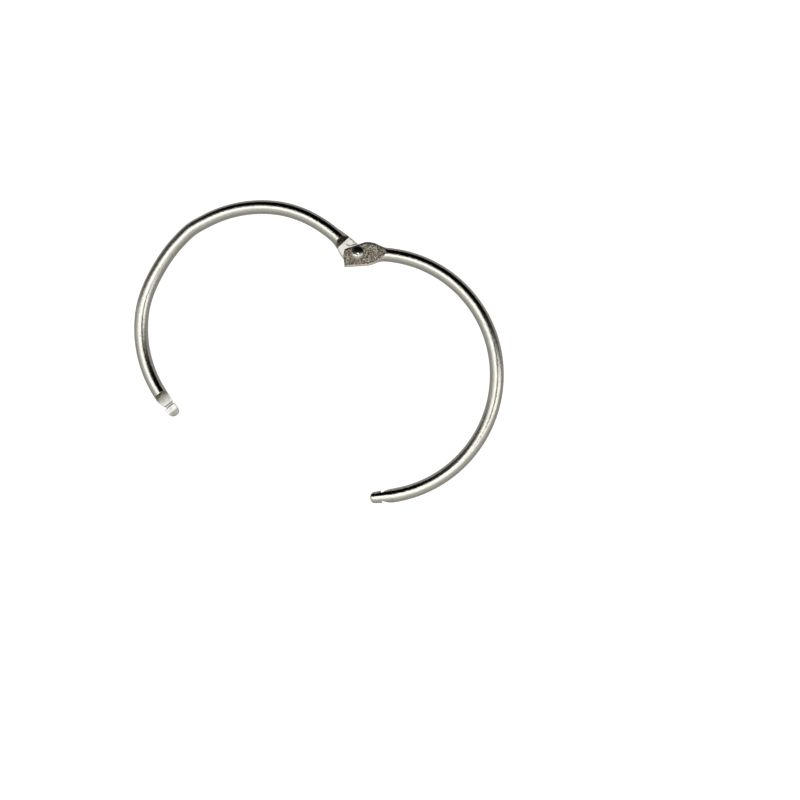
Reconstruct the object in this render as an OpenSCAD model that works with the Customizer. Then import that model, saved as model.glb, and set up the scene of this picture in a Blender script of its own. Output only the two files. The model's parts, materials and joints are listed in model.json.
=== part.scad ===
// Hinged binder ring, lying flat and open.
// Two half rings of round wire turn on one rivet. Each half is coined to a leaf at the hinge and cut to a
// hollow ramp, a notch and a hooked nose at the other end. The lower half is the upper one turned over,
// with a shorter and narrower leaf.

/* [Ring] */
// Inside diameter of the closed ring
ring_inside_d = 50.8; // [38:0.1:76]
// Diameter of the wire
wire_d = 3.1; // [2.7:0.05:3.6]
// Straight run of each half ring at the hinge, and again at the latch
straight_run = 0.95; // [0.3:0.05:1.5]
// Angle between the half rings as the ring lies, 0 when closed
rest_opening = 58; // [10:1:120]

/* [Hinge leaves] */
// Distance from the rivet to the point of the coined leaf
leaf_length = 6.35; // [5.4:0.05:7.5]
// Distance from the rivet to the widest place of the leaf
leaf_swell = 1.9; // [0.8:0.05:2.4]
// Half of the upper leaf's width at its widest place
upper_leaf_half_width = 2.65; // [2.1:0.05:3]
// Half of the lower leaf's width at its widest place
lower_leaf_half_width = 2.2; // [2.1:0.05:3]
// Distance from the rivet to the sheared end of the upper leaf
upper_leaf_end = 3.2; // [2.4:0.05:3.6]
// Half width of the upper leaf's sheared end towards the inside of the ring
upper_leaf_inner = 2.4; // [1.7:0.05:2.6]
// Distance from the rivet to the sheared end of the lower leaf
lower_leaf_end = 2.2; // [2:0.05:3.6]
// Half width of the lower leaf's sheared end towards the inside of the ring
lower_leaf_inner = 1.4; // [1.3:0.05:2.6]
// Half width of the sheared ends towards the outside of the ring
leaf_outer = 1.6; // [1.2:0.05:2.2]
// Length of the cropped outer corner, along the leaf
leaf_crop_length = 0.4; // [0.1:0.05:0.8]
// Width of the cropped outer corner, across the leaf
leaf_crop_width = 1.4; // [0.4:0.05:1.8]
// Depth of the coined face below the crown of the wire
leaf_recess = 0.1; // [0.05:0.01:0.2]
// Gap between the two leaves
leaf_gap = 0.06; // [0.04:0.01:0.2]
// Distance from the rivet to the foot of the sloping wire shoulder
shoulder_foot = 4.1; // [3.8:0.05:5]
// Slope of the wire shoulder above the leaf plane
shoulder_slope = 55; // [40:1:80]

/* [Rivet] */
// Diameter of the rivet's shank
rivet_d = 1.8; // [1.2:0.05:2.2]
// Diameter of the domed head
rivet_head_d = 3; // [2.5:0.05:3.6]
// Height of the domed head
rivet_head_h = 0.75; // [0.4:0.05:1.1]
// Distance of the rivet outside the centre line of the wire
rivet_offset = 0.4; // [0:0.05:0.9]
// Radial play of the shank in the leaves
rivet_play = 0.04; // [0.02:0.01:0.08]
// Diameter of the peened end
peen_d = 2.2; // [1.9:0.05:2.8]
// Depth of the countersink that holds the peened end
peen_depth = 0.45; // [0.25:0.05:0.7]

/* [Latch] */
// Length over which the two ends lap when closed
lap_length = 5.9; // [5:0.1:8]
// Depth of the step at which the ramp starts, below the crown of the wire
ramp_step = 0.35; // [0.2:0.05:0.6]
// Depth of the foot of the ramp beyond the middle of the wire
ramp_foot = 0.8; // [0.5:0.05:1]
// Depth of the ramp's hollow below a straight line from its step to its foot
ramp_hollow = 0.3; // [0.1:0.05:0.45]
// Depth of the notch beyond the middle of the wire
notch_depth = 1.15; // [0.9:0.05:1.3]
// Width of the notch at the foot of the ramp
notch_width = 0.55; // [0.3:0.05:0.9]
// Clearance of each nose from the middle plane of the wire
hook_clearance = 0.03; // [0.02:0.01:0.1]
// Gap between a nose and the ramp that it lies on when closed
lap_gap = 0.08; // [0.04:0.01:0.2]
// Clearance of the nose's tip from the step at the start of the ramp
tip_clearance = 0.06; // [0.03:0.01:0.2]
// Diameter to which the nose is drawn down
nose_d = 2.5; // [2.1:0.05:2.9]
// Depth of the nose's back below the crown of the wire
nose_back_drop = 0.06; // [0.03:0.01:0.15]
// Distance before the middle of the lap at which the drawing down starts
nose_taper_start = 2.2; // [1.5:0.1:3.5]

/* [Hidden] */

$fn = 96;
wire_r = wire_d / 2;
ring_r = ring_inside_d / 2 + wire_r;           // centre line of the wire
arc_drop = ring_r + rivet_offset;              // rivet axis down to the centre of the half circle
leaf_face = wire_r - leaf_recess;              // coined outer face above the middle plane
leaf_floor = leaf_gap / 2;                     // inner face above the middle plane
// Each leaf: half width at its widest place, distance to its sheared end, half width of that end inwards.
upper_leaf = [upper_leaf_half_width, upper_leaf_end, upper_leaf_inner];
lower_leaf = [lower_leaf_half_width, lower_leaf_end, lower_leaf_inner];
half_lap = lap_length / 2;
nose_r = nose_d / 2;

// Degrees that the wire has turned through at a length along its centre line from the hinge.
function arc_deg(s) = (s - straight_run) / ring_r * 180 / PI;

// The shoulder is square to the chord of the curved wire that the leaf grows out of.
shoulder_lead = atan2(
    ring_r * (1 - cos(arc_deg(leaf_length))),
    straight_run + ring_r * sin(arc_deg(leaf_length))
);

// The ramp, in the middle plane's coordinates: u along the wire towards the nose, z across it.
// It is a hollow arc from its step down to its foot at the notch.
ramp_start_z = -(wire_r - ramp_step);
ramp_run = half_lap - notch_width / 2;
ramp_drop = ramp_foot - ramp_start_z;
ramp_half = norm([ramp_run, ramp_drop]) / 2;
ramp_r = (pow(ramp_half, 2) + pow(ramp_hollow, 2)) / (2 * ramp_hollow);
ramp_back = (ramp_r - ramp_hollow) / (2 * ramp_half);
ramp_centre = [
    -(half_lap + notch_width / 2) / 2 + ramp_back * ramp_drop,
    (ramp_start_z + ramp_foot) / 2 - ramp_back * ramp_run,
];
// The nose is rounded to lie on the other half's ramp, which is this one turned over.
nose_centre = [-ramp_centre[0], -ramp_centre[1]];
nose_curve_r = ramp_r - lap_gap;
nose_end_u = half_lap - tip_clearance;
nose_end_z = nose_centre[1] - sqrt(pow(nose_curve_r, 2) - pow(nose_end_u - nose_centre[0], 2));
// The ball of the nose, placed so that the curve leaves it nose_end_u long.
ball_lift = wire_r - nose_back_drop - nose_r;
ball_u = nose_end_u - sqrt(pow(nose_r, 2) - pow(nose_end_z - ball_lift, 2));
taper_length = ball_u + nose_taper_start;

// Place of the rivet, with the whole part's box centred on the origin and its wire on the floor.
half_opening = rest_opening / 2;
// How far the rim that the curve leaves on the ball reaches past the ball's centre, at a height z.
function rim_at(z) = nose_centre[0] + sqrt(pow(nose_curve_r, 2) - pow(z - nose_centre[1], 2)) - ball_u;
function rim_reach_at(z) = rim_at(z) * sin(half_opening)
    + sqrt(max(pow(nose_r, 2) - pow(rim_at(z), 2) - pow(z - ball_lift, 2), 0)) * cos(half_opening);
rim_step = (nose_end_z - hook_clearance) / 1000;
rim_reach = max([for (z = [hook_clearance : rim_step : nose_end_z]) rim_reach_at(z)]);
box_top = straight_run * sin(half_opening) - arc_drop * cos(half_opening) + ring_r + wire_r;
box_bottom = -ball_u * sin(half_opening) - (arc_drop + ring_r) * cos(half_opening) - rim_reach;
rivet_place = [0, -(box_top + box_bottom) / 2, wire_r];

margin = 0.5;            // how far cutters reach past what they cut
coining_margin = 0.08;   // how far the coined face reaches past the leaf, into the crown of the wire
far = 8;                 // half length of a cutter that only has to clear the wire

// The round wire, bent through half a circle and running on straight through the latch.
module wire() {
    start = arc_deg(shoulder_foot - margin);
    translate([straight_run, -arc_drop, 0])
        rotate([0, 0, -90])
            rotate_extrude(angle = 180 - start, $fn = 180)
                translate([ring_r, 0])
                    circle(r = wire_r);
    in_lap_frame()
        translate([-straight_run, 0, 0])
            rotate([0, 90, 0])
                cylinder(r = wire_r, h = straight_run + half_lap + margin);
}

// Outline of the coined face, x along the leaf towards the wire and y towards the outside of the ring:
// two arcs that meet in a point, and a tail that narrows to the sheared end.
module leaf_outline(leaf, grow = 0) {
    half_width = leaf[0] + grow;
    end = leaf[1] + grow;
    inner = leaf[2] + grow;
    reach = leaf_length - leaf_swell + grow;
    arc_r = (pow(reach, 2) + pow(half_width, 2)) / (2 * half_width);
    translate([0, -rivet_offset]) {
        intersection() {
            translate([leaf_swell, half_width - arc_r])
                circle(r = arc_r, $fn = 180);
            translate([leaf_swell, arc_r - half_width])
                circle(r = arc_r, $fn = 180);
            translate([leaf_swell, -half_width])
                square([reach, 2 * half_width]);
        }
        polygon([
            [leaf_swell, half_width],
            [leaf_crop_length - end, leaf_outer + grow],
            [-end, leaf_outer - leaf_crop_width],
            [-end, -inner],
            [leaf_swell, -half_width],
        ]);
    }
}

// Leaf blank of half the wire's thickness, left high for the coining.
module leaf_blank(leaf) {
    translate([0, 0, leaf_floor])
        linear_extrude(wire_r + leaf_recess - leaf_floor)
            leaf_outline(leaf);
}

// What the coining takes off the blank and off the crown of the wire round its point.
module coining(leaf) {
    translate([0, 0, leaf_face])
        linear_extrude(wire_r)
            leaf_outline(leaf, coining_margin);
}

// Room under the leaf for the other leaf, up to the sloping shoulder of the full wire.
module shoulder_cut() {
    depth = wire_r + margin;
    translate([0, -rivet_offset, 0])
        rotate([0, 0, -shoulder_lead])
            translate([0, far, 0])
                rotate([90, 0, 0])
                    linear_extrude(2 * far)
                        polygon([
                            [-far, leaf_floor],
                            [shoulder_foot, leaf_floor],
                            [shoulder_foot + (depth + leaf_floor) / tan(shoulder_slope), -depth],
                            [-far, -depth],
                        ]);
}

// Bore for the rivet and the countersink for its peened end, on the axis.
module rivet_hole() {
    translate([0, 0, -margin])
        cylinder(r = rivet_d / 2 + rivet_play, h = wire_d);
    translate([0, 0, leaf_face - peen_depth])
        cylinder(
            r1 = rivet_d / 2 + rivet_play,
            r2 = peen_d / 2 + 2 * rivet_play,
            h = peen_depth
        );
}

// Frame of the latch end: x along the wire towards the nose, y outward, origin in the middle of the lap.
module in_lap_frame() {
    translate([0, -arc_drop - ring_r, 0])
        rotate([0, 0, 180])
            children();
}

// Envelope of the drawn-down end: a cone that stays nearly level with the wire's back, and a ball.
module nose_envelope() {
    tilt = atan(ball_lift / taper_length);
    translate([-nose_taper_start, 0, 0])
        rotate([0, 90 - tilt, 0])
            cylinder(r1 = wire_r + lap_gap, r2 = nose_r, h = norm([taper_length, ball_lift]));
    translate([ball_u, 0, ball_lift])
        sphere(r = nose_r);
}

// What is taken off round the nose.
module nose_cut() {
    in_lap_frame()
        difference() {
            translate([-nose_taper_start, -far / 2, -far / 2])
                cube([nose_taper_start + half_lap + margin, far, far]);
            nose_envelope();
        }
}

// Side view of what the hollow ramp, the notch and the round nose leave open.
module lap_profile() {
    depth = wire_r + margin;
    intersection() {
        translate(ramp_centre)
            circle(r = ramp_r, $fn = 180);
        translate([-half_lap, -depth])
            square([half_lap, 2 * depth]);
    }
    // the walls of the notch run through the foot of the ramp and the start of the crest
    polygon([
        [-notch_width, -depth],
        [-notch_width, 2 * ramp_foot - notch_depth],
        [0, notch_depth],
        [notch_width, 2 * hook_clearance - notch_depth],
        [notch_width, -depth],
    ]);
    difference() {
        translate([0, -depth])
            square([half_lap + margin, 2 * depth]);
        intersection() {
            translate(nose_centre)
                circle(r = nose_curve_r, $fn = 180);
            translate([-margin, hook_clearance])
                square([half_lap + 3 * margin, 2 * depth]);
        }
    }
}

// The lap is cut square across the wire.
module lap_cut() {
    in_lap_frame()
        translate([0, far / 2, 0])
            rotate([90, 0, 0])
                linear_extrude(far)
                    lap_profile();
}

// One half ring as it lies when closed, rivet on the axis, leaf in the upper half of the wire.
module half_ring(leaf) {
    difference() {
        union() {
            wire();
            leaf_blank(leaf);
        }
        coining(leaf);
        shoulder_cut();
        nose_cut();
        lap_cut();
        children();
    }
}

module upper_half_ring() {
    color("gainsboro")
        translate(rivet_place)
            rotate([0, 0, half_opening])
                half_ring(upper_leaf)
                    translate([0, 0, -margin])
                        cylinder(r = rivet_d / 2 + rivet_play, h = wire_d);
}

module lower_half_ring() {
    color("silver")
        translate(rivet_place)
            rotate([0, 180, -half_opening])
                half_ring(lower_leaf)
                    rivet_hole();
}

// Turned about its own axis: domed head on the upper leaf, shank, and the end spread in the lower leaf.
module hinge_rivet() {
    dome_r = (pow(rivet_head_d / 2, 2) + pow(rivet_head_h, 2)) / (2 * rivet_head_h);
    color("whitesmoke")
        translate(rivet_place) {
            translate([0, 0, leaf_face])
                intersection() {
                    translate([0, 0, rivet_head_h - dome_r])
                        sphere(r = dome_r);
                    cylinder(r = rivet_head_d / 2, h = rivet_head_d);
                }
            translate([0, 0, -leaf_face])
                cylinder(r = rivet_d / 2, h = 2 * leaf_face);
            translate([0, 0, -leaf_face])
                cylinder(r1 = peen_d / 2, r2 = rivet_d / 2, h = peen_depth - rivet_play);
        }
}

upper_half_ring();
lower_half_ring();
hinge_rivet();
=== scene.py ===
"""Looks of the hinged binder ring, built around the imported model.

Each half ring is one closed skin laid over a distance field of the formed wire, and the rivet is turned.
"""

import json
import math

import bmesh
import bpy
import numpy as np
from mathutils import Euler, Matrix, Vector

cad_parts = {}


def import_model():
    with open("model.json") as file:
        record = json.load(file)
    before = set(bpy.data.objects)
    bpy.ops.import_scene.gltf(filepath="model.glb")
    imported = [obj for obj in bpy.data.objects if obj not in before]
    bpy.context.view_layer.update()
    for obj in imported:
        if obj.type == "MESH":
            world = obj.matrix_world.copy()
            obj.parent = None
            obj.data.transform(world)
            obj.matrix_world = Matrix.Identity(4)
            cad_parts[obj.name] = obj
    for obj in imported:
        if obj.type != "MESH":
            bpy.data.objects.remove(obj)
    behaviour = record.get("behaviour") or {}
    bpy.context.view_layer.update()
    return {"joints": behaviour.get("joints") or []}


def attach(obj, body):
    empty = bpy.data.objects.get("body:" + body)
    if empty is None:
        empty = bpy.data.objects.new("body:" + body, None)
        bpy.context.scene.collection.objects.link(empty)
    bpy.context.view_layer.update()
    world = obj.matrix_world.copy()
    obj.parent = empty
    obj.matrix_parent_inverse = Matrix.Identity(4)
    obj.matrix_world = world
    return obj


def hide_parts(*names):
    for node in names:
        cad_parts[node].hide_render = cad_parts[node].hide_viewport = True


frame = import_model()

MM = 0.001

# Sizes of the source, in mm and degrees
WIRE_R = 1.55
RING_R = 26.95           # centre line of the wire
RUN = 0.95               # straight run at the hinge and at the latch
HALF_OPENING = 29.0
RIVET_OFFSET = 0.4       # of the rivet outside the centre line of the wire
LEAF_POINT = 6.35        # lengths from the rivet: the leaf's point, its widest place, the shoulder's foot
LEAF_SWELL = 1.9
SHOULDER_FOOT = 4.1
SHOULDER_SLOPE = math.radians(55)
LEAF_OUTER = 1.6         # half width of the sheared ends towards the outside of the ring
LEAF_CROP = (0.4, 1.4)   # length and width of the cropped corner
LEAF_FACE = 1.45         # heights of the coined face and of the inner face over the middle plane
LEAF_FLOOR = 0.03
RIVET_R = 0.9
RIVET_HEAD_R = 1.5
RIVET_HEAD_H = 0.75
BORE_R = 0.94
PEEN_R = 1.1
PEEN_DEPTH = 0.45
SINK_R = 1.18
HALF_LAP = 2.95
RAMP_START_Z = -1.2      # the latch is cut away below these heights over the middle plane
RAMP_END = (-0.275, 0.8)
RAMP_HOLLOW = 0.3
CREST_Z = 0.03
LAP_GAP = 0.08
TIP_CLEARANCE = 0.06
NOSE_R = 1.25
NOSE_BACK_DROP = 0.06
NOSE_TAPER_START = 2.2

# The notch of the photo, which has a sloping foot
NOTCH_FOOT = [(-0.25, 0.95), (0.32, 1.13)]
NOTCH_END_U = 0.5

# Rounding and blending of the pressed form
SIDE_ROUND = 0.1
END_ROUND = 0.12
END_INSET = 0.08
RIM_Z = 1.17             # the pressed sides are widest at this height, just below the die's face
EDGE_ROUND = 0.06
CROWN_ROUND = 0.05
WIRE_OVERLAP = 0.5       # length of wire that runs on into the leaf, and the rounding of its end
WIRE_END_ROUND = 0.3
FLARE = 0.9              # between the leaf and the wire
COIN_MARGIN = 0.08       # how far the die's face reaches past the leaf
ROLL = (0.05, 0.16)      # least and most rounding of the die's face
ROLL_START = 2.0
ROLL_FALL = 0.04
NOSE_ROUND = 0.15
NOSE_LEAD = 0.5          # length before the taper over which the nose is rounded into the wire
LAP_ROUND = 0.09

# Worked out
ARC_DROP = RING_R + RIVET_OFFSET
WIRE_LENGTH = math.pi * RING_R + 2 * RUN
LEAF_TURN = (LEAF_POINT - RUN) / RING_R
SHOULDER_LEAD = math.atan2(RING_R * (1 - math.cos(LEAF_TURN)), RUN + RING_R * math.sin(LEAF_TURN))

# Place of the rivet's axis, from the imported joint
HINGE = frame["joints"][0]["pos_m"]
RIVET_AT = np.array([HINGE[0], HINGE[1], 0.0]) / MM + [0, 0, WIRE_R]


# ---------------------------------------------------------------- side view of the latch


def arc(centre, radius, start, end, count):
    """Points on a circle between the angles of two points."""
    first = math.atan2(start[1] - centre[1], start[0] - centre[0])
    last = math.atan2(end[1] - centre[1], end[0] - centre[0])
    angles = np.linspace(first, last, count)
    return [(centre[0] + radius * math.cos(a), centre[1] + radius * math.sin(a)) for a in angles]


def nose_z(u):
    """Height of the nose's round face."""
    return NOSE_CENTRE[1] - math.sqrt(NOSE_CURVE_R**2 - (u - NOSE_CENTRE[0]) ** 2)


# The ramp is hollow, and the nose that lies on it when the ring is closed is round to match.
RAMP_START = (-HALF_LAP, RAMP_START_Z)
CHORD = (RAMP_END[0] - RAMP_START[0], RAMP_END[1] - RAMP_START[1])
HALF_CHORD = math.hypot(*CHORD) / 2
RAMP_R = (HALF_CHORD**2 + RAMP_HOLLOW**2) / (2 * RAMP_HOLLOW)
BACK = (RAMP_R - RAMP_HOLLOW) / (2 * HALF_CHORD)
RAMP_CENTRE = (
    (RAMP_START[0] + RAMP_END[0]) / 2 + BACK * CHORD[1],
    (RAMP_START[1] + RAMP_END[1]) / 2 - BACK * CHORD[0],
)
NOSE_CENTRE = (-RAMP_CENTRE[0], -RAMP_CENTRE[1])
NOSE_CURVE_R = RAMP_R - LAP_GAP
CREST_END = (NOSE_CENTRE[0] + math.sqrt(NOSE_CURVE_R**2 - (CREST_Z - NOSE_CENTRE[1]) ** 2), CREST_Z)
NOSE_END = (HALF_LAP, nose_z(HALF_LAP))
# The ball at the end of the nose
BALL_Z = WIRE_R - NOSE_BACK_DROP - NOSE_R
TIP_U = HALF_LAP - TIP_CLEARANCE
BALL_U = TIP_U - math.sqrt(NOSE_R**2 - (nose_z(TIP_U) - BALL_Z) ** 2)

# Lower edge of the latch: places along the wire from the middle of the lap towards the nose, and heights
LAP_EDGE = [
    *arc(RAMP_CENTRE, RAMP_R, RAMP_START, RAMP_END, 16),
    *NOTCH_FOOT,
    (NOTCH_END_U, CREST_Z),
    *arc(NOSE_CENTRE, NOSE_CURVE_R, CREST_END, NOSE_END, 12),
]
LAP_CUT = [
    (-HALF_LAP, -3),
    *LAP_EDGE,
    (HALF_LAP + 1, NOSE_END[1] + 1),
    (HALF_LAP + 1, -3),
]


# ---------------------------------------------------------------- distance field of one half ring


def smooth_max(a, b, k):
    h = np.maximum(k - np.abs(a - b), 0) / k
    return np.maximum(a, b) + h * h * k / 4


def smooth_min(a, b, k):
    return -smooth_max(-a, -b, k)


def half_plane(x, y, start, end):
    """Distance outside the line from start to end, which has the inside on its right."""
    dx, dy = end[0] - start[0], end[1] - start[1]
    size = math.hypot(dx, dy)
    return ((y - start[1]) * dx - (x - start[0]) * dy) / size


def polygon_distance(x, y, points):
    """Signed distance to a closed polygon, negative inside."""
    corners = np.array(points, float)
    nearest = np.full(x.shape, 1e9)
    inside = np.zeros(x.shape, bool)
    for (ax, ay), (bx, by) in zip(corners, np.roll(corners, -1, axis=0)):
        edge_x, edge_y = bx - ax, by - ay
        from_x, from_y = x - ax, y - ay
        share = np.clip((from_x * edge_x + from_y * edge_y) / (edge_x * edge_x + edge_y * edge_y), 0, 1)
        nearest = np.minimum(nearest, (from_x - edge_x * share) ** 2 + (from_y - edge_y * share) ** 2)
        crosses = (ay > y) != (by > y)
        with np.errstate(divide="ignore", invalid="ignore"):
            at = (bx - ax) * (y - ay) / (by - ay) + ax
        inside ^= crosses & (x < at)
    return np.where(inside, -1, 1) * np.sqrt(nearest)


class Side:
    """One side of a leaf, y positive: an arc from its widest place, and a line back to its sheared end.

    The arc drops by a length up to the leaf's point, and the line ends at the tail's half width. The side
    draws in by flat_inset where the leaf is flat.
    """

    def __init__(self, swell, width, drop, tail, flat_inset=0.0):
        self.swell, self.width, self.tail, self.flat_inset = swell, width, tail, flat_inset
        self.arc_r = ((LEAF_POINT - swell) ** 2 + drop**2) / (2 * drop)

    def outside(self, x, y, end):
        round_part = np.hypot(x - self.swell, y - self.width + self.arc_r) - self.arc_r
        line = half_plane(x, y, (LEAF_CROP[0] - end, self.tail), (self.swell, self.width))
        return np.where(x > self.swell, round_part, line)


class Form:
    """What differs between the two half rings: sheared end, sides, the die's face and hand bends, in mm."""

    def __init__(self, end, outer, inner, die_half_width, die_at, bends):
        self.end, self.outer, self.inner, self.die_at, self.bends = end, outer, inner, die_at, bends
        half = die_half_width
        self.die_outer = Side(LEAF_SWELL, half, half, outer.tail - die_at)
        self.die_inner = Side(LEAF_SWELL, half, half, inner.tail + die_at)

    def bend(self, turn):
        """Offset of the wire from its true circle, outwards, where it has turned through an angle."""
        total = 0.0
        for at, reach, offset in self.bends:
            near = np.clip(1 - np.abs(np.degrees(turn) - at) / reach, 0, 1)
            total = total + offset * near * near * (3 - 2 * near)
        return total

    def sheared(self, x, y):
        """Distance outside the sheared end and its cropped corner."""
        corner, crop = LEAF_CROP[0] - self.end, LEAF_OUTER - LEAF_CROP[1]
        return np.maximum(half_plane(x, y, (-self.end, crop), (corner, LEAF_OUTER)), -self.end - x)

    def blank(self, x, y, swell):
        """Distance outside the pressed blank. Its sides draw in by their inset where swell is 1."""
        outer = self.outer.outside(x, y, self.end) + self.outer.flat_inset * swell
        inner = self.inner.outside(x, -y, self.end) + self.inner.flat_inset * swell
        end = np.maximum(self.sheared(x, y) + END_INSET * swell, x - LEAF_POINT)
        return smooth_max(smooth_max(outer, inner, SIDE_ROUND), end, END_ROUND)

    def coined(self, x, y):
        """Distance outside the die's pointed face."""
        across = y - self.die_at
        outer = self.die_outer.outside(x, across, self.end)
        inner = self.die_inner.outside(x, -across, self.end)
        return np.maximum(np.maximum(outer, inner), self.sheared(x, y))


UPPER = Form(
    end=3.2,
    outer=Side(1.9, 2.65, 2.65, LEAF_OUTER, 0.34),
    inner=Side(1.9, 2.65, 2.65, 2.4, 0.42),
    die_half_width=2.65,
    die_at=0.0,
    bends=[],
)
LOWER = Form(
    end=2.2,
    outer=Side(-0.3, 1.85, 1.52, LEAF_OUTER, 0.1),
    inner=Side(0.9, 2.92, 1.1, 1.4, 0.4),
    die_half_width=2.3,
    die_at=-0.6,
    # place in degrees from the hinge, reach in degrees and offset of each hand bend
    bends=[(6, 38, -0.49), (87, 8, 0.13), (111, 25, -0.38)],
)


def wire_distance(p, form):
    """Distance to the round wire, straight to the hinge and bent beyond it, as if it were never cut."""
    x, y, z = p.T
    turn = np.arctan2(np.maximum(x - RUN, 0), y + ARC_DROP)
    round_part = np.hypot(x - RUN, y + ARC_DROP)
    straight = np.abs(y + ARC_DROP)
    from_centre = np.where(x >= RUN, round_part, straight)
    return np.hypot(from_centre - RING_R - form.bend(turn), z) - WIRE_R


def past_shoulder(p):
    """Length from the foot of the sloping shoulder towards the wire."""
    x, y = p[:, 0], p[:, 1] + RIVET_OFFSET
    return x * math.cos(SHOULDER_LEAD) - y * math.sin(SHOULDER_LEAD) - SHOULDER_FOOT


def inside_slope(p):
    """Distance from the plane of the sloping shoulder, positive on the wire's side."""
    return past_shoulder(p) * math.sin(SHOULDER_SLOPE) + (p[:, 2] - LEAF_FLOOR) * math.cos(SHOULDER_SLOPE)


def hinge_end(p, form, wire):
    """The wire, flared into the pressed leaf, less the die's recess and the room of the other leaf."""
    x, y, z = p[:, 0], p[:, 1] + RIVET_OFFSET, p[:, 2]
    # the sides draw in by their inset at the coined face, and by half of it at the inner face
    above = np.clip((z - RIM_Z) / (LEAF_FACE - RIM_Z), 0, 1) ** 1.4
    below = np.clip((RIM_Z - z) / (RIM_Z - LEAF_FLOOR), 0, 1) ** 2
    blank = form.blank(x, y, above + 0.5 * below)
    leaf = smooth_max(blank, LEAF_FLOOR - z, EDGE_ROUND)
    wire_end = smooth_max(wire, -WIRE_OVERLAP - past_shoulder(p), WIRE_END_ROUND)
    body = smooth_min(wire_end, leaf, FLARE)
    # the flare never stands above the crown or below the back of the wire
    body = smooth_max(body, np.abs(z) - WIRE_R, CROWN_ROUND)
    # the die rolls the sides of the face over, less towards its point
    roll = np.clip(ROLL[1] - ROLL_FALL * (x - ROLL_START), *ROLL)
    body = smooth_max(body, -np.maximum(LEAF_FACE - z, form.coined(x, y) - COIN_MARGIN), roll)
    room = np.maximum(z - LEAF_FLOOR, inside_slope(p))
    return smooth_max(body, -room, EDGE_ROUND)


def latch_end(p, wire):
    """The wire, drawn down to its round nose, less the ramp and the notch."""
    u, z = -p[:, 0], p[:, 2]
    axis = np.array([BALL_U + NOSE_TAPER_START, 0.0, BALL_Z])
    from_start = np.stack([u + NOSE_TAPER_START, -(p[:, 1] + ARC_DROP + RING_R), z], axis=1)
    share = np.minimum(from_start @ axis / (axis @ axis), 1)
    start_r = WIRE_R + LAP_GAP
    off_axis = np.linalg.norm(from_start - share[:, None] * axis, axis=1)
    nose = off_axis - (start_r + share * (NOSE_R - start_r))
    body = np.where(u > -NOSE_TAPER_START - NOSE_LEAD, smooth_max(wire, nose, NOSE_ROUND), wire)
    return smooth_max(body, -polygon_distance(u, z, LAP_CUT), LAP_ROUND)


def field(p, form):
    """Signed distance, nearly, to the skin of a half ring in its closed place, rivet on the axis."""
    wire = wire_distance(p, form)
    return np.where(p[:, 1] > -ARC_DROP, hinge_end(p, form, wire), latch_end(p, wire))


# ---------------------------------------------------------------- skin over the field

# A section plane is its origin, heading, half width, half height and length along the wire from the rivet.
# The sections lie closest together where the form changes most.
AROUND = 160             # points round each section
LEAF_SECTIONS_END = 6.7
CROP_INSIDE = 0.3        # of the first section's origin from the cropped corner
WIRE_SECTIONS = 130
WIRE_FIRST = 6.75
WIRE_LAST = WIRE_LENGTH - 5.2
SQUARE_START = 6.6       # where the sections start to turn square across the wire, and over what length
SQUARE_LENGTH = 4
RAY_REACH = 4.6
SHARP = math.radians(42)
WELD = 0.002
BORE_SIDES = 96


def leaf_sections(form):
    """Section planes from the sheared end of the leaf to past its point, turning towards the shoulder."""
    corner = LEAF_CROP[0] - form.end
    crop = LEAF_OUTER - LEAF_CROP[1]
    middle = (LEAF_OUTER - form.inner.tail) / 2
    lengths = np.concatenate([
        -form.end + LEAF_CROP[0] * np.linspace(0.03, 1, 16) ** 1.5,
        np.arange(corner + 0.07, SHOULDER_FOOT - 0.1, 0.08),
        np.arange(SHOULDER_FOOT - 0.1, LEAF_SECTIONS_END, 0.05),
    ])
    rows = []
    for x in lengths:
        turn = max(x - RUN, 0) / RING_R
        line = RING_R * (math.cos(turn) - 1) + form.bend(turn)
        share = min(max((x - corner) / (SHOULDER_FOOT - corner), 0), 1)
        if x < corner:
            y = crop - CROP_INSIDE + (x + form.end) / LEAF_CROP[0] * (middle - crop + CROP_INSIDE)
        else:
            y = middle + (line - middle) * share
        low = max(LEAF_FLOOR - max(x - SHOULDER_FOOT, 0) * math.tan(SHOULDER_SLOPE), -WIRE_R)
        # the leaf narrows to the wire
        width = max(WIRE_R, 2.5 - 0.16 * max(x - 1.6, 0) ** 1.6)
        origin = (x, y - RIVET_OFFSET, (LEAF_FACE + low) / 2)
        rows.append((origin, -SHOULDER_LEAD * share, width, (LEAF_FACE - low) / 2, x))
    return rows


def wire_sections(form):
    """Section planes round the bent wire."""
    rows = []
    for length in np.linspace(WIRE_FIRST, WIRE_LAST, WIRE_SECTIONS):
        turn = (length - RUN) / RING_R
        share = min(max((length - SQUARE_START) / SQUARE_LENGTH, 0), 1)
        heading = -(SHOULDER_LEAD + (turn - SHOULDER_LEAD) * share)
        radius = RING_R + form.bend(turn)
        origin = (RUN + radius * math.sin(turn), -ARC_DROP + radius * math.cos(turn), 0)
        rows.append((origin, heading, WIRE_R, WIRE_R, length))
    return rows


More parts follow.
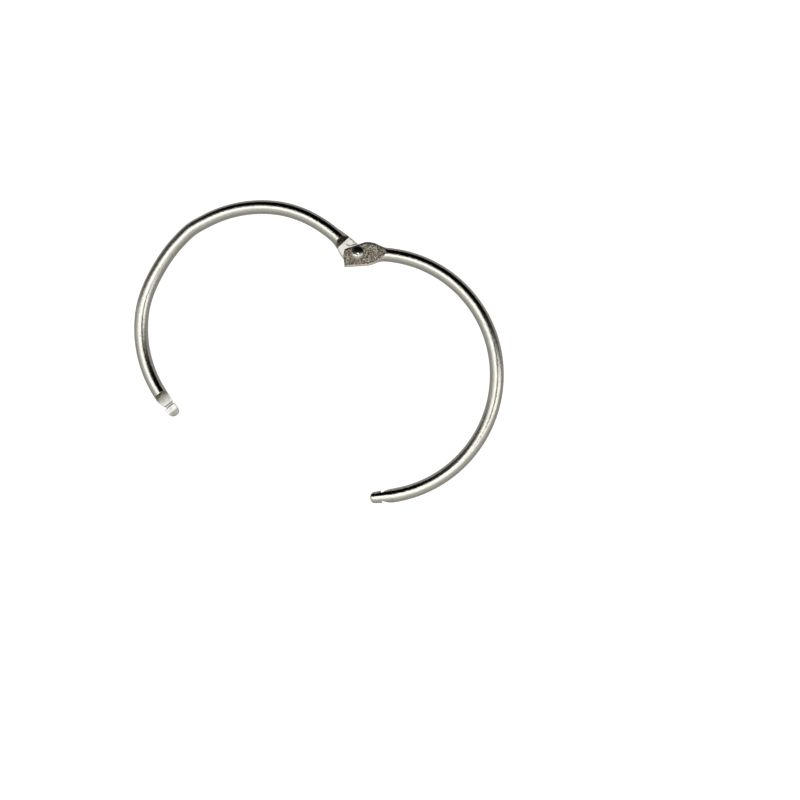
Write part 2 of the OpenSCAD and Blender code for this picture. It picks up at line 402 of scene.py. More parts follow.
def latch_sections():
    """Section planes over the ramp, the notch and the nose, all facing along the straight run."""
    places = np.concatenate([
        np.linspace(-5.1, -3.3, 8),
        [-3.15, -3.05, -3.0, -2.975, -2.96, -2.95, -2.94, -2.925, -2.9, -2.85],
        np.arange(-2.75, -0.45, 0.08),
        np.arange(-0.42, 0.46, 0.035),
        np.arange(0.5, 1.15, 0.07),
        np.arange(1.16, 2.5, 0.06),
        np.linspace(2.5, 2.87, 22),
    ])
    edge_u, edge_z = zip(*LAP_EDGE)
    rows = []
    for u in places:
        low = np.interp(u, edge_u, edge_z) if u >= -HALF_LAP else -WIRE_R
        top = WIRE_R
        if u > BALL_U:
            top = BALL_Z + math.sqrt(max(NOSE_R**2 - (u - BALL_U) ** 2, 0))
        # the origins follow the bend until the wire runs straight
        turn = math.pi - math.asin(max(-u - RUN, 0) / RING_R)
        origin = (-u, -ARC_DROP + RING_R * math.cos(turn), (low + top) / 2)
        rows.append((origin, -math.pi, WIRE_R, (top - low) / 2, WIRE_LENGTH + u))
    return rows


def directions(width, height, count):
    """Ray directions through points spread along a rounded box, closer together at its corners."""
    # a wide section is a box with small corners, and any other is nearly round
    corner = min(0.45 * height, 0.25) if width > height * 1.15 else min(width, height)
    angles = np.linspace(0, 2 * math.pi, 4 * count, endpoint=False)
    base = np.stack([np.cos(angles), np.sin(angles)], axis=1)
    # point on the rounded box in each angle's direction, by halving
    core = np.array([width - corner, height - corner])
    low, high = np.zeros(len(angles)), np.full(len(angles), 3 * width)
    for _ in range(40):
        reach = (low + high) / 2
        past = np.abs(base * reach[:, None]) - core
        out = np.linalg.norm(np.maximum(past, 0), axis=1) + np.minimum(past.max(axis=1), 0) - corner
        low, high = np.where(out < 0, reach, low), np.where(out < 0, high, reach)
    points = base * reach[:, None]
    ring = np.vstack([points, points[:1]])
    step = np.linalg.norm(np.diff(ring, axis=0), axis=1)
    # weight by how fast the outline turns
    edge = np.diff(ring, axis=0) / step[:, None]
    turn = np.abs(np.arctan2(
        edge[:, 0] * np.roll(edge[:, 1], -1) - edge[:, 1] * np.roll(edge[:, 0], -1),
        (edge * np.roll(edge, -1, axis=0)).sum(1),
    ))
    weight = step + 0.55 * (np.roll(turn, 1) + turn) / 2
    walk = np.concatenate([[0], np.cumsum(weight)])
    at = np.interp(np.linspace(0, walk[-1], count, endpoint=False), walk, np.arange(len(walk)))
    whole = np.floor(at).astype(int)
    part = (at - whole)[:, None]
    spread = ring[whole] * (1 - part) + ring[whole + 1] * part
    return spread / np.linalg.norm(spread, axis=1)[:, None]


def cast(origins, rays, form):
    """Distance along each ray to the skin, by halving."""
    low = np.zeros(len(rays))
    high = np.full(len(rays), RAY_REACH)
    for _ in range(26):
        mid = (low + high) / 2
        inside = field(origins + rays * mid[:, None], form) < 0
        low, high = np.where(inside, mid, low), np.where(inside, high, mid)
    return (low + high) / 2


def half_ring_mesh(name, form):
    """Closed skin through the points that the rays of all sections hit."""
    rows = leaf_sections(form) + wire_sections(form) + latch_sections()
    origins, rays, lengths = [], [], []
    for origin, heading, width, height, length in rows:
        side = np.array([-math.sin(heading), math.cos(heading), 0])
        flat = directions(width, height, AROUND)
        rays.append(flat[:, :1] * side + flat[:, 1:] * np.array([0, 0, 1]))
        origins.append(np.tile(origin, (AROUND, 1)))
        lengths.append(length)
    origins, rays = np.vstack(origins), np.vstack(rays)
    points = origins + rays * cast(origins, rays, form)[:, None]
    verts = np.vstack([points, points[:AROUND].mean(axis=0), points[-AROUND:].mean(axis=0)])
    row = np.arange(len(rows) - 1)[:, None] * AROUND
    around = np.arange(AROUND)
    following = (around + 1) % AROUND
    this_row, next_row = [row + around, row + following], [row + AROUND + following, row + AROUND + around]
    faces = np.stack(this_row + next_row, axis=-1).reshape(-1, 4).tolist()
    first_middle, last_middle = len(points), len(points) + 1
    last_row = len(points) - AROUND
    for this, after in zip(around.tolist(), following.tolist()):
        faces.append([first_middle, after, this])
        faces.append([last_middle, last_row + this, last_row + after])
    mesh = bpy.data.meshes.new(name)
    mesh.from_pydata(verts.tolist(), [], faces)
    map_wire(mesh, lengths)
    return mesh


def map_wire(mesh, lengths):
    """UV map of a skin: the length along the wire in girths, and the share of the way round it."""
    loops = np.zeros(len(mesh.loops), int)
    mesh.loops.foreach_get("vertex_index", loops)
    sides = np.zeros(len(mesh.polygons), int)
    mesh.polygons.foreach_get("loop_total", sides)
    along = np.append(np.repeat(lengths, AROUND), [lengths[0], lengths[-1]])[loops]
    around = np.append(np.tile(np.arange(AROUND) / AROUND, len(lengths)), [0.0, 0.0])[loops]
    # the last face of each round closes at 1, not at 0
    loop_face = np.repeat(np.arange(len(mesh.polygons)), sides)
    top = np.zeros(len(mesh.polygons))
    np.maximum.at(top, loop_face, around)
    around[(around == 0) & (top[loop_face] > 0.5)] = 1.0
    girth = 2 * math.pi * WIRE_R
    uv = mesh.uv_layers.new(name="along_wire")
    uv.data.foreach_set("uv", np.stack([along / girth, around], axis=1).ravel())


def link(name, mesh):
    obj = bpy.data.objects.new(name, mesh)
    bpy.context.scene.collection.objects.link(obj)
    return obj


def outward(mesh):
    """Joins points that fall together and turns every face outward."""
    work = bmesh.new()
    work.from_mesh(mesh)
    bmesh.ops.remove_doubles(work, verts=work.verts, dist=WELD)
    bmesh.ops.recalc_face_normals(work, faces=work.faces)
    work.to_mesh(mesh)
    work.free()


def turned(name, profile, sides):
    """Closed solid of revolution about z from (radius, height) points, first and last on the axis."""
    rings = profile[1:-1]
    verts = [(0, 0, profile[0][1])]
    for radius, height in rings:
        for n in range(sides):
            angle = 2 * math.pi * n / sides
            verts.append((radius * math.cos(angle), radius * math.sin(angle), height))
    verts.append((0, 0, profile[-1][1]))
    faces = []
    for this in range(sides):
        following = (this + 1) % sides
        faces.append((0, 1 + this, 1 + following))
        for level in range(len(rings) - 1):
            above, below = 1 + level * sides, 1 + (level + 1) * sides
            faces.append((above + this, below + this, below + following, above + following))
        last = 1 + (len(rings) - 1) * sides
        faces.append((last + this, len(verts) - 1, last + following))
    mesh = bpy.data.meshes.new(name)
    mesh.from_pydata(verts, [], faces)
    outward(mesh)
    return mesh


def cut_with(obj, profile):
    """Take a solid of revolution on the rivet's axis out of an object in the closed frame."""
    tool = link("bore_tool", turned("bore_tool", profile, BORE_SIDES))
    cut = obj.modifiers.new("bore", "BOOLEAN")
    cut.operation = "DIFFERENCE"
    cut.solver = "MANIFOLD"
    cut.object = tool
    graph = bpy.context.evaluated_depsgraph_get()
    mesh = bpy.data.meshes.new_from_object(obj.evaluated_get(graph), depsgraph=graph)
    obj.modifiers.clear()
    old = obj.data
    obj.data = mesh
    bpy.data.meshes.remove(old)
    bpy.data.objects.remove(tool)


# Tools for the bores, which start below the leaf and end above it
TOOL_LOW, TOOL_TOP = -1, 2.4
BORE = [(0, TOOL_LOW), (BORE_R, TOOL_LOW), (BORE_R, TOOL_TOP), (0, TOOL_TOP)]
SUNK_BORE = [
    (0, TOOL_LOW), (BORE_R, TOOL_LOW),
    (BORE_R, LEAF_FACE - PEEN_DEPTH), (SINK_R, LEAF_FACE),
    (SINK_R, TOOL_TOP), (0, TOOL_TOP),
]

# Finishes of a half ring, in the order of its material slots
DRAWN, COINED, PRESSED, SHEARED, STRUCK = range(5)
STRUCK_END = 6.5         # the struck shoulder ends before this length from the rivet
FACING = 0.8             # least share of the normal that points up or down on a flat face
BORDER_INSET = 0.1
BORDER_REACH = 0.12


def sort_faces(mesh, form):
    """Gives each face its finish, by its place and by the way it faces."""
    count = len(mesh.polygons)
    centre, normal = np.zeros(count * 3), np.zeros(count * 3)
    mesh.polygons.foreach_get("center", centre)
    mesh.polygons.foreach_get("normal", normal)
    centre, up = centre.reshape(-1, 3), normal.reshape(-1, 3)[:, 2]
    x, y, z = centre[:, 0], centre[:, 1] + RIVET_OFFSET, centre[:, 2]
    at_hinge = centre[:, 1] > -ARC_DROP
    leaf = at_hinge & (x < LEAF_POINT + 0.2)
    kind = np.full(count, DRAWN)
    # the small lengths are tolerances, in mm
    kind[leaf & (up > FACING) & (z > LEAF_FACE - 0.06) & (form.coined(x, y) < 0.1)] = COINED
    kind[leaf & (up < -FACING) & (z > 0) & (past_shoulder(centre) < 0.1)] = PRESSED
    kind[at_hinge & (x < STRUCK_END) & (z < -0.02) & (np.abs(inside_slope(centre)) < 0.05)] = STRUCK
    kind[~leaf & (np.abs(polygon_distance(-x, z, LAP_CUT)) < 0.035)] = SHEARED
    mesh.polygons.foreach_set("material_index", kind)


def mark_border(mesh, form):
    """Stores how near each point lies to a line just inside the border of the coined face or of the flat,
    where the materials paint a shade line.
    """
    points = np.zeros(len(mesh.vertices) * 3)
    mesh.vertices.foreach_get("co", points)
    points = points.reshape(-1, 3)
    x, y = points[:, 0], points[:, 1] + RIVET_OFFSET
    coin = np.maximum(form.blank(x, y, 1.0), form.coined(x, y))
    inside = np.where(points[:, 2] > LEAF_FACE / 2, coin, form.blank(x, y, 0.5))
    near = np.clip(1 - np.abs(inside + BORDER_INSET) / BORDER_REACH, 0, 1)
    border = mesh.attributes.new("border", "FLOAT", "POINT")
    border.data.foreach_set("value", near.astype(np.float32))


def half_ring(name, form, bore, place, body, node):
    """One half ring, bored and finished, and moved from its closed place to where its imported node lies."""
    mesh = half_ring_mesh(name, form)
    outward(mesh)
    obj = link(name, mesh)
    cut_with(obj, bore)
    mesh = obj.data
    mesh.name = name
    mesh.materials.clear()
    sort_faces(mesh, form)
    mark_border(mesh, form)
    mesh.transform(place)
    mesh.shade_smooth()
    mesh.set_sharp_from_angle(angle=SHARP)
    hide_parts(node)
    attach(obj, body)
    return obj


half_turn = Matrix.Rotation(math.pi, 4, "Y")
to_frame = Matrix.Translation(Vector(RIVET_AT * MM)) @ Matrix.Scale(MM, 4)
opened = math.radians(HALF_OPENING)
upper = half_ring(
    "ring_half_upper", UPPER, BORE, to_frame @ Matrix.Rotation(opened, 4, "Z"), "root", "upper_half_ring"
)
lower = half_ring(
    "ring_half_lower", LOWER, SUNK_BORE,
    to_frame @ Matrix.Rotation(-opened, 4, "Z") @ half_turn, "lower_half", "lower_half_ring",
)


# ---------------------------------------------------------------- rivet

HEAD_EDGE = 0.16         # height of the head's edge below its dome
DOME_FOOT = LEAF_FACE + HEAD_EDGE
DOME_RISE = RIVET_HEAD_H - HEAD_EDGE
APEX = np.array([0.1, -0.45])                    # the hammered dome leans
RIDGE = math.radians(20)
DENTS = [((0.35, -0.3), 0.38, 0.05), ((0.0, 0.75), 0.35, 0.03)]   # place, radius and depth
RIVET_SIDES = 128
RIVET_SHARP = math.radians(50)


def rivet_profile():
    """From the pole of the flat head, down its edge and shank, to the middle of the peened end."""
    return [
        *[(RIVET_HEAD_R * share, DOME_FOOT) for share in np.linspace(0, 0.985, 40)],
        (RIVET_HEAD_R, DOME_FOOT - 0.03),
        (RIVET_HEAD_R, LEAF_FACE + 0.04),
        (RIVET_HEAD_R - 0.04, LEAF_FACE + 0.004),
        (RIVET_R + 0.02, LEAF_FACE + 0.003),
        (RIVET_R, LEAF_FACE - 0.02),
        (RIVET_R, -LEAF_FACE + PEEN_DEPTH - 0.04),
        (PEEN_R - 0.03, -LEAF_FACE + 0.08),
        (PEEN_R, -LEAF_FACE + 0.04),
        (PEEN_R - 0.02, -LEAF_FACE + 0.01),
        (PEEN_R - 0.08, -LEAF_FACE),
        (PEEN_R - 0.18, -LEAF_FACE + 0.01),
        (PEEN_R - 0.35, -LEAF_FACE + 0.05),
        (PEEN_R - 0.6, -LEAF_FACE + 0.09),
        (0.2, -LEAF_FACE + 0.11),
        (0, -LEAF_FACE + 0.115),
    ]


def raise_dome(mesh):
    """Lifts the flat top of the turned head to a dome with its apex off centre, and dents it."""
    points = np.zeros(len(mesh.vertices) * 3)
    mesh.vertices.foreach_get("co", points)
    points = points.reshape(-1, 3)
    top = points[:, 2] > DOME_FOOT - 0.001
    across = points[top, :2] - APEX
    far = np.linalg.norm(across, axis=1)
    way = across / np.maximum(far, 1e-9)[:, None]
    # distance from the apex to the rim in each point's direction
    along = way @ APEX
    rim = -along + np.sqrt(along**2 + RIVET_HEAD_R**2 - APEX @ APEX)
    # the hammered top is a blunt ridge
    ridge = way @ np.array([math.cos(RIDGE), math.sin(RIDGE)])
    share = np.minimum(far / rim, 1)
    share = np.sqrt(share**2 * (1 - ridge**2) + share**4 * ridge**2)
    lift = DOME_RISE * (1 - share**2)
    for place, radius, depth in DENTS:
        near = np.linalg.norm(points[top, :2] - place, axis=1) / radius
        lift = lift - depth * np.clip(1 - near**2, 0, 1) ** 2
    points[top, 2] += np.maximum(lift, 0)
    mesh.vertices.foreach_set("co", points.ravel())
    mesh.update()


rivet = link("rivet", turned("rivet", rivet_profile(), RIVET_SIDES))
raise_dome(rivet.data)
rivet.data.transform(to_frame)
rivet.data.shade_smooth()
rivet.data.set_sharp_from_angle(angle=RIVET_SHARP)
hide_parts("hinge_rivet")
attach(rivet, "root")


# ---------------------------------------------------------------- materials


class Nodes:
    """Short hand for building a material's or world's node tree."""

    def __init__(self, owner):
        owner.use_nodes = True
        self.tree = owner.node_tree
        self.tree.nodes.clear()

    def fill(self, socket, value):
        if isinstance(value, bpy.types.NodeSocket):
            self.tree.links.new(value, socket)
        else:
            socket.default_value = value

    def add(self, kind, inputs=None, **settings):
        node = self.tree.nodes.new(kind)
        for key, value in settings.items():
            setattr(node, key, value)
        for key, value in (inputs or {}).items():
            self.fill(node.inputs[key], value)
        return node

    def place(self):
        return self.add("ShaderNodeTexCoord").outputs["Object"]

    def along_wire(self):
        return self.add("ShaderNodeUVMap", uv_map="along_wire").outputs[0]

    # mask of the painted shade lines along the borders
    def border(self):
        return self.add("ShaderNodeAttribute", attribute_name="border").outputs["Fac"]

    def split(self, vector):
        return self.add("ShaderNodeSeparateXYZ", {0: vector}).outputs

    def plus(self, a, b):
        return self.add("ShaderNodeVectorMath", {0: a, 1: b}, operation="ADD").outputs[0]

    def scaled(self, vector, scale):
        return self.add("ShaderNodeVectorMath", {0: vector, "Scale": scale}, operation="SCALE").outputs[0]

    def stretch(self, vector, scale):
        return self.add("ShaderNodeMapping", {"Vector": vector, "Scale": scale}).outputs[0]

    def math(self, operation, a, b=0.0):
        return self.add("ShaderNodeMath", {0: a, 1: b}, operation=operation).outputs[0]

    def noise(self, vector, scale, detail=2.0, rough=0.5, out="Fac"):
        return self.add(
            "ShaderNodeTexNoise",
            {"Vector": vector, "Scale": scale, "Detail": detail, "Roughness": rough},
        ).outputs[out]

    def ramp(self, value, stops):
        """Colour between the stops, each a place and its colour."""
        node = self.add("ShaderNodeValToRGB", {"Fac": value})
        elements = node.color_ramp.elements
        while len(elements) < len(stops):
            elements.new(0.5)
        for element, (at, colour) in zip(elements, stops):
            element.position = at
            element.color = (*colour, 1)
        return node.outputs["Color"]

    def mix(self, share, base, colour):
        """The base where share is 0, and a plain colour where it is 1."""
        node = self.add("ShaderNodeMix", data_type="RGBA")
        for socket, value in ((0, share), (6, base), (7, (*colour, 1))):
            self.fill(node.inputs[socket], value)
        return node.outputs[2]

    def remap(self, value, low, high, to_low, to_high, smooth=False):
        return self.add(
            "ShaderNodeMapRange",
            {"Value": value, "From Min": low, "From Max": high, "To Min": to_low, "To Max": to_high},
            interpolation_type="SMOOTHSTEP" if smooth else "LINEAR",
        ).outputs[0]

    def reach(self, parts, start, end):
        """Distance of a place, split in its parts, from a line between two points in mm."""
        (ax, ay), (bx, by) = (np.array(start) * MM).tolist(), (np.array(end) * MM).tolist()
        length = math.hypot(bx - ax, by - ay)
        east, north = (bx - ax) / length, (by - ay) / length
        x, y = self.math("SUBTRACT", parts["X"], ax), self.math("SUBTRACT", parts["Y"], ay)
        along = self.math("ADD", self.math("MULTIPLY", x, east), self.math("MULTIPLY", y, north))
        across = self.math("SUBTRACT", self.math("MULTIPLY", x, north), self.math("MULTIPLY", y, east))
        past = self.math("MAXIMUM", self.math("MULTIPLY", along, -1.0), self.math("SUBTRACT", along, length))
        return self.math("MAXIMUM", past, self.math("ABSOLUTE", across))

    def bump(self, height, distance, strength, normal=None):
        inputs = {"Height": height, "Distance": distance, "Strength": strength}
        if normal is not None:
            inputs["Normal"] = normal
        return self.add("ShaderNodeBump", inputs).outputs[0]


def metal(build):
    """Material named after the function that gives its colour, roughness and normal."""
    material = bpy.data.materials.new("nickel_" + build.__name__)
    n = Nodes(material)
    colour, rough, normal = build(n)
    shader = n.add(
        "ShaderNodeBsdfPrincipled",
        {"Base Color": colour, "Metallic": 1.0, "Roughness": rough, "Normal": normal},
    )
    n.add("ShaderNodeOutputMaterial", {"Surface": shader.outputs[0]})
    return material


def drawn(n):
    """Nickel over drawn wire: fine marks along the wire, pits and a little uneven plating."""
    wire, place = n.along_wire(), n.place()
    marks = n.noise(n.stretch(wire, (3.0, 60.0, 1.0)), 1.0, 3.0, 0.6)
    long_marks = n.noise(n.stretch(wire, (0.4, 26.0, 1.0)), 1.0, 2.0, 0.5)
    grain = n.noise(place, 3400, 2.0, 0.6)
    cloud = n.noise(place, 420, 2.0, 0.5)
    speck = n.noise(place, 2600, 2.0, 0.6)
    colour = n.ramp(cloud, [(0.3, (0.715, 0.69, 0.63)), (0.7, (0.775, 0.755, 0.70))])
    brown = n.remap(speck, 0.52, 0.66, 0, 0.5)
    colour = n.mix(brown, colour, (0.62, 0.54, 0.43))
    rough = n.remap(grain, 0.3, 0.75, 0.08, 0.17)
    normal = n.bump(marks, 0.00002, 0.35)
    normal = n.bump(long_marks, 0.00004, 0.25, normal)
    normal = n.bump(grain, 0.00006, 0.6, normal)
    return colour, rough, normal


def coined(n):
    """Nickel over the die's face: a crackled grain, with painted shade in its furrows and a painted shade
    line along its border.
    """
    place = n.place()
    worms = n.math("ABSOLUTE", n.math("SUBTRACT", n.noise(place, 3000, 1.5, 0.5), 0.5))
    furrow = n.remap(worms, 0.0, 0.10, 0, 1)
    grain = n.noise(place, 5200, 2.0, 0.6)
    # the near-black furrow colour is painted shade in the furrows of the grain
    furrow_shade, middle, ridge = (0.035, 0.028, 0.02), (0.20, 0.17, 0.13), (0.73, 0.655, 0.55)
    colour = n.ramp(furrow, [(0.0, furrow_shade), (0.4, middle), (1.0, ridge)])
    # painted shade line just inside the border of the face
    colour = n.mix(n.math("MULTIPLY", n.border(), 0.8), colour, (0.07, 0.06, 0.05))
    rough = n.remap(grain, 0.3, 0.7, 0.24, 0.36)
    normal = n.bump(furrow, 0.00006, 0.9)
    normal = n.bump(grain, 0.00004, 0.7, normal)
    return colour, rough, normal


# Ends of the wandering dark lines in the flat, in mm along X and Y from the rivet
DARK_LINES = [
    ((-3.17, 0.94), (-2.33, 1.11)),
    ((-2.33, 1.11), (-0.94, 2.17)),
    ((-2.81, 2.47), (-1.64, 2.32)),
    ((-1.64, 2.32), (-1.07, 2.05)),
]
WANDER = 0.5             # how far the dark lines wander, in mm


def pressed(n):
    """Nickel over the flat of the leaf: smooth, with wandering dark lines and stains by the edge of the other
    leaf, and a painted shade line just inside its border.
    """
    place = n.place()
    grain = n.noise(place, 3000, 2.0, 0.5)
    cloud = n.noise(place, 900, 2.0, 0.5)
    colour = n.ramp(cloud, [(0.35, (0.92, 0.88, 0.81)), (0.65, (0.98, 0.95, 0.89))])
    wavy = n.plus(place, n.scaled(n.noise(place, 2400, out="Color"), WANDER * MM))
    # the noise adds half of WANDER on average
    shift = Vector((-RIVET_AT[0] - WANDER / 2, -RIVET_AT[1] - WANDER / 2, 0)) * MM
    parts = n.split(n.plus(wavy, shift))
    near_leaf = n.remap(parts["X"], -0.0029, -0.0018, 0, 0.6)
    blotch = n.math("MULTIPLY", near_leaf, n.remap(grain, 0.46, 0.6, 0, 1))
    colour = n.mix(blotch, colour, (0.42, 0.38, 0.32))
    # painted shade line just inside the border of the flat
    dark = n.math("MULTIPLY", n.border(), 0.6)
    for start, end in DARK_LINES:
        dark = n.math("MAXIMUM", dark, n.remap(n.reach(parts, start, end), 0.00004, 0.00015, 0.95, 0, True))
    colour = n.mix(dark, colour, (0.10, 0.085, 0.07))
    rough = n.remap(grain, 0.3, 0.7, 0.3, 0.38)
    return colour, rough, n.bump(grain, 0.000015, 0.5)


# Painted shade lines across the latch, at the foot of the step and at the notch: length from the start of the
# ramp and reach in mm, and strength
PAINTED_SHADE_LINES = [(0.0, 0.2, 0.9), (2.72, 0.12, 0.75), (3.36, 0.24, 1.0)]


def sheared(n):
    """Nickel over the cut faces of the latch: drag marks across, a mottled brown painted shade under the
    step, and painted shade lines across the latch.
    """
    place = n.place()
    drag = n.noise(n.stretch(place, (6000.0, 900.0, 900.0)), 1.0, 3.0, 0.6)
    cloud = n.noise(place, 1500, 3.0, 0.6)
    colour = n.ramp(cloud, [(0.38, (0.76, 0.74, 0.69)), (0.55, (0.94, 0.925, 0.885))])
    along = n.math("MULTIPLY", n.split(n.along_wire())["X"], 2 * math.pi * WIRE_R)
    past = n.math("SUBTRACT", along, WIRE_LENGTH - HALF_LAP)
    # mottled brown painted shade under the step, where the ramp starts
    under_step = n.remap(past, 0.3, 1.5, 0.95, 0, True)
    step_shade = n.math("MULTIPLY", under_step, n.remap(cloud, 0.38, 0.52, 0, 1))
    colour = n.mix(step_shade, colour, (0.27, 0.21, 0.14))
    # painted shade lines at the foot of the step and at the notch
    for at, reach, strength in PAINTED_SHADE_LINES:
        from_line = n.math("ABSOLUTE", n.math("SUBTRACT", past, at))
        share = n.remap(from_line, 0.4 * reach, reach, strength, 0, True)
        colour = n.mix(share, colour, (0.05, 0.04, 0.03))
    rough = n.remap(drag, 0.3, 0.7, 0.36, 0.5)
    return colour, rough, n.bump(drag, 0.00005, 0.7)


def struck_painted_shade(n):
    """Nickel over the shoulder that the punch leaves: coarse, with painted shade that makes it dark, darkest
    towards the ring's outside.
    """
    place = n.place()
    grain = n.noise(place, 2600, 2.0, 0.6)
    cloud = n.noise(place, 900, 2.0, 0.6)
    # the dark base colour is painted shade on the sloping shoulder
    colour = n.ramp(cloud, [(0.35, (0.22, 0.20, 0.165)), (0.65, (0.50, 0.48, 0.43))])
    parts = n.split(place)
    north = n.math("SUBTRACT", parts["Y"], float(RIVET_AT[1]) * MM)
    to_outside = n.math("ADD", north, n.math("MULTIPLY", parts["X"], 0.5))
    # more painted shade on the side towards the ring's outside
    colour = n.mix(n.remap(to_outside, -0.0024, 0.0, 0, 0.9), colour, (0.045, 0.035, 0.025))
    rough = n.remap(grain, 0.3, 0.7, 0.3, 0.42)
    return colour, rough, n.bump(grain, 0.00006, 0.6)


def domed(n):
    """Bright rivet, slightly dented by the setting tool."""
    place = n.place()
    dents = n.noise(place, 900, 2.0, 0.5)
    grain = n.noise(place, 5200, 2.0, 0.6)
    colour = n.ramp(dents, [(0.3, (0.74, 0.71, 0.65)), (0.7, (0.80, 0.78, 0.73))])
    rough = n.remap(grain, 0.3, 0.7, 0.16, 0.26)
    normal = n.bump(dents, 0.00015, 0.5)
    return colour, rough, n.bump(grain, 0.00002, 0.5, normal)


# in the order of DRAWN, COINED, PRESSED, SHEARED and STRUCK
finishes = [metal(build) for build in (drawn, coined, pressed, sheared, struck_painted_shade)]
for half in (upper, lower):
    for finish in finishes:
        half.data.materials.append(finish)
rivet.data.materials.append(metal(domed))


# ---------------------------------------------------------------- floor, world, flag and camera

WHITE = (1, 1, 1, 1)
FLOOR_HALF = 3.0
FLOOR_Z = -0.00002


def floor():
    """Table that is white to the camera and grey to the metal."""
    mesh = bpy.data.meshes.new("floor")
    corners = [(-1, -1), (1, -1), (1, 1), (-1, 1)]
    mesh.from_pydata([(FLOOR_HALF * x, FLOOR_HALF * y, 0) for x, y in corners], [], [(0, 1, 2, 3)])
    obj = link("floor", mesh)
    obj.location.z = FLOOR_Z
    material = bpy.data.materials.new("floor_white")
    n = Nodes(material)
    rays = n.add("ShaderNodeLightPath").outputs
    mirrored = n.math("MAXIMUM", rays["Is Glossy Ray"], rays["Is Transmission Ray"])
    seen = n.math("ADD", n.math("MULTIPLY", rays["Is Camera Ray"], 0.95), n.math("MULTIPLY", mirrored, 0.1))
    plain = n.add("ShaderNodeBsdfDiffuse", {"Color": (0.38, 0.38, 0.37, 1)})
    glow = n.add("ShaderNodeEmission", {"Color": WHITE, "Strength": seen})
    both = n.add("ShaderNodeAddShader", {0: plain.outputs[0], 1: glow.outputs[0]})
    n.add("ShaderNodeOutputMaterial", {"Surface": both.outputs[0]})
    mesh.materials.append(material)


# Brightest radiance of the ceiling, and its share at rising sines of the elevation
SKY_TOP = 1.75
SKY = [
    (0.0, (0.21, 0.21, 0.198)),
    (0.26, (0.265, 0.266, 0.25)),
    (0.574, (0.318, 0.318, 0.298)),
    (0.707, (0.365, 0.365, 0.350)),
    (0.82, (0.490, 0.494, 0.482)),
    (0.906, (0.72, 0.725, 0.72)),
    (0.966, (0.955, 0.96, 0.965)),
]
# Lobes of light: azimuth, elevation and spread in degrees, and radiance
LOBES = [(18, 34, 20, 0.8), (14, 58, 18, 0.5), (207, 52, 22, 0.22)]
LOBE_TINT = (1.0, 0.99, 0.96)


def world():
    """A bright ceiling over grey-green walls, with a window to the east and a paler wall to the west."""
    sky = bpy.data.worlds.new("studio")
    bpy.context.scene.world = sky
    n = Nodes(sky)
    ray = n.add("ShaderNodeTexCoord").outputs["Generated"]
    whole = n.scaled(n.ramp(n.split(ray)["Z"], SKY), SKY_TOP)
    for azimuth, elevation, spread, strength in LOBES:
        az, el = math.radians(azimuth), math.radians(elevation)
        towards = (math.cos(el) * math.cos(az), math.cos(el) * math.sin(az), math.sin(el))
        near = n.add("ShaderNodeVectorMath", {0: ray, 1: towards}, operation="DOT_PRODUCT").outputs["Value"]
        edge, core = math.cos(math.radians(spread)), math.cos(math.radians(spread / 4))
        whole = n.plus(whole, n.scaled(LOBE_TINT, n.remap(near, edge, core, 0, strength, True)))
    lit = n.add("ShaderNodeBackground", {"Color": whole, "Strength": 1.0})
    white = n.add("ShaderNodeBackground", {"Color": WHITE, "Strength": 1.0})
    seen = n.add("ShaderNodeLightPath").outputs["Is Camera Ray"]
    both = n.add("ShaderNodeMixShader", {0: seen, 1: lit.outputs[0], 2: white.outputs[0]})
    n.add("ShaderNodeOutputWorld", {"Surface": both.outputs[0]})


# The flag is part of a globe round the set: azimuth of its ends, height of its top, and radius
FLAG_EAST, FLAG_WEST = math.radians(14), math.radians(205)
FLAG_HEIGHT = math.radians(89)
FLAG_R = 0.6
FLAG_COLUMNS, FLAG_ROWS = 64, 32
# Its edge, in degrees north of straight overhead, moves north in the east and south in the far west.
FLAG_EDGE = 9.0
FLAG_EAST_SLOPE = 0.42
FLAG_WEST_SLOPE = 0.25
FLAG_WEST_START = -12.0
FLAG_SOFTNESS = 3.5


def flag_mesh():
    """Sheet with its share from east to west and from foot to top as its UV map."""
    verts, faces = [], []
    for row in range(FLAG_ROWS + 1):
        el = FLAG_HEIGHT * row / FLAG_ROWS
        for column in range(FLAG_COLUMNS + 1):
            az = FLAG_EAST + (FLAG_WEST - FLAG_EAST) * column / FLAG_COLUMNS
            way = (math.cos(el) * math.cos(az), math.cos(el) * math.sin(az), math.sin(el))
            verts.append(tuple(FLAG_R * part for part in way))
    width = FLAG_COLUMNS + 1
    for row in range(FLAG_ROWS):
        for first in range(row * width, row * width + FLAG_COLUMNS):
            faces.append((first, first + 1, first + width + 1, first + width))
    mesh = bpy.data.meshes.new("dark_flag")
    mesh.from_pydata(verts, [], faces)
    uv = mesh.uv_layers.new(name="sheet")
    loops = np.zeros(len(mesh.loops), int)
    mesh.loops.foreach_get("vertex_index", loops)
    shares = np.stack([(loops % width) / FLAG_COLUMNS, (loops // width) / FLAG_ROWS], axis=1)
    uv.data.foreach_set("uv", shares.ravel())
    mesh.shade_smooth()
    return mesh


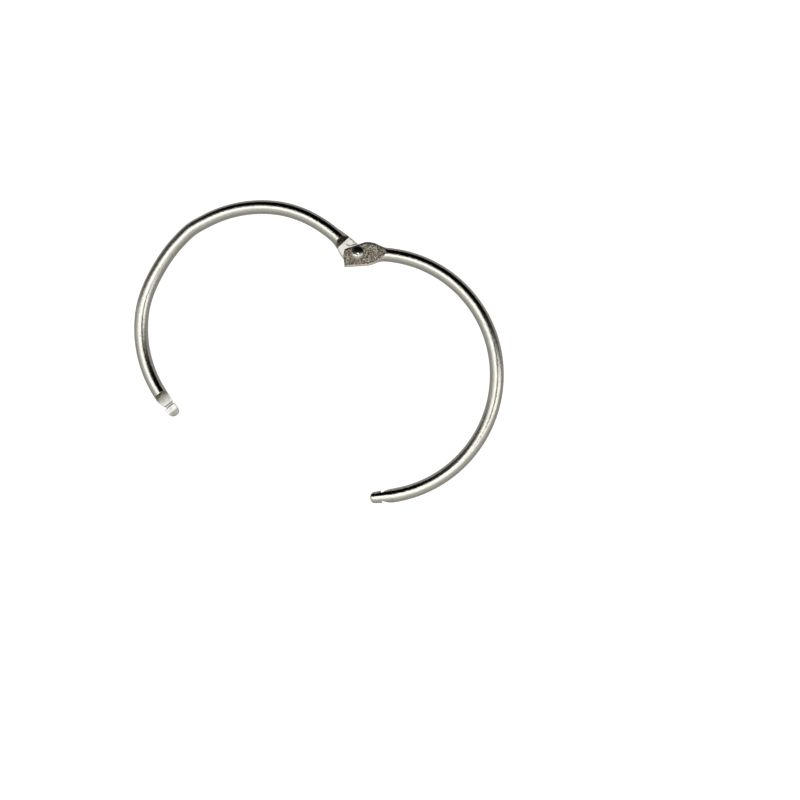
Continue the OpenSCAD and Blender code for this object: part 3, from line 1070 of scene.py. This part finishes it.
def flag():
    """A dark sheet beside the set, from the table to overhead, which gives the wire its dark band."""
    obj = link("dark_flag", flag_mesh())
    obj.visible_camera = False
    material = bpy.data.materials.new("flag_black")
    n = Nodes(material)
    parts = n.split(n.add("ShaderNodeUVMap", uv_map="sheet").outputs[0])
    # place on the sheet as degrees from straight overhead, to the east and to the north
    turn = n.remap(parts["X"], 0, 1, FLAG_EAST, FLAG_WEST)
    down = n.remap(parts["Y"], 0, 1, 90, 90 - math.degrees(FLAG_HEIGHT))
    to_east = n.math("MULTIPLY", n.math("COSINE", turn), down)
    to_north = n.math("MULTIPLY", n.math("SINE", turn), down)
    past_east = n.math("MAXIMUM", to_east, 0.0)
    past_west = n.math("MAXIMUM", n.math("SUBTRACT", FLAG_WEST_START, to_east), 0.0)
    past_edge = n.math("SUBTRACT", to_north, FLAG_EDGE)
    past_edge = n.math("SUBTRACT", past_edge, n.math("MULTIPLY", past_east, FLAG_EAST_SLOPE))
    past_edge = n.math("ADD", past_edge, n.math("MULTIPLY", past_west, FLAG_WEST_SLOPE))
    solid = n.remap(past_edge, -FLAG_SOFTNESS, FLAG_SOFTNESS, 0, 1, True)
    # it is thinner at its two ends
    solid = n.math("MULTIPLY", solid, n.remap(parts["X"], 0.05, 0.22, 0.5, 1, True))
    solid = n.math("MULTIPLY", solid, n.remap(parts["X"], 0.82, 0.66, 0.85, 1, True))
    dark = n.add("ShaderNodeBsdfDiffuse", {"Color": (0.008, 0.005, 0.003, 1)})
    clear = n.add("ShaderNodeBsdfTransparent")
    both = n.add("ShaderNodeMixShader", {0: solid, 1: clear.outputs[0], 2: dark.outputs[0]})
    n.add("ShaderNodeOutputMaterial", {"Surface": both.outputs[0]})
    obj.data.materials.append(material)


# The camera and the dark body beside it, in mm and degrees. The camera is fitted to the photo's perspective.
CAMERA_AT = (52.832, -8.660, 331.959)
CAMERA_TURN = (2.8409, 4.7081, 22.9099)
LENS = 67.5
SENSOR = 36
BODY_AT = (122, 45, 332)
BODY_R = 65


def camera_body():
    """Dark body beside the lens, which the wire mirrors as a thin line."""
    mesh = bpy.data.meshes.new("camera_body")
    work = bmesh.new()
    bmesh.ops.create_uvsphere(work, u_segments=24, v_segments=12, radius=BODY_R * MM)
    work.to_mesh(mesh)
    work.free()
    mesh.shade_smooth()
    obj = link("camera_body", mesh)
    obj.location = Vector(BODY_AT) * MM
    obj.visible_camera = False
    material = bpy.data.materials.new("body_black")
    n = Nodes(material)
    dark = n.add("ShaderNodeBsdfDiffuse", {"Color": (0.02, 0.018, 0.015, 1)})
    n.add("ShaderNodeOutputMaterial", {"Surface": dark.outputs[0]})
    mesh.materials.append(material)


def camera():
    view = bpy.data.cameras.new("camera")
    view.sensor_width = SENSOR
    view.lens = LENS
    view.clip_start = 0.005
    view.clip_end = 10
    obj = link("camera", view)
    obj.location = Vector(CAMERA_AT) * MM
    obj.rotation_euler = Euler([math.radians(a) for a in CAMERA_TURN], "XYZ")
    bpy.context.scene.camera = obj


floor()
world()
flag()
camera_body()
camera()
bpy.context.scene.view_settings.view_transform = "Standard"
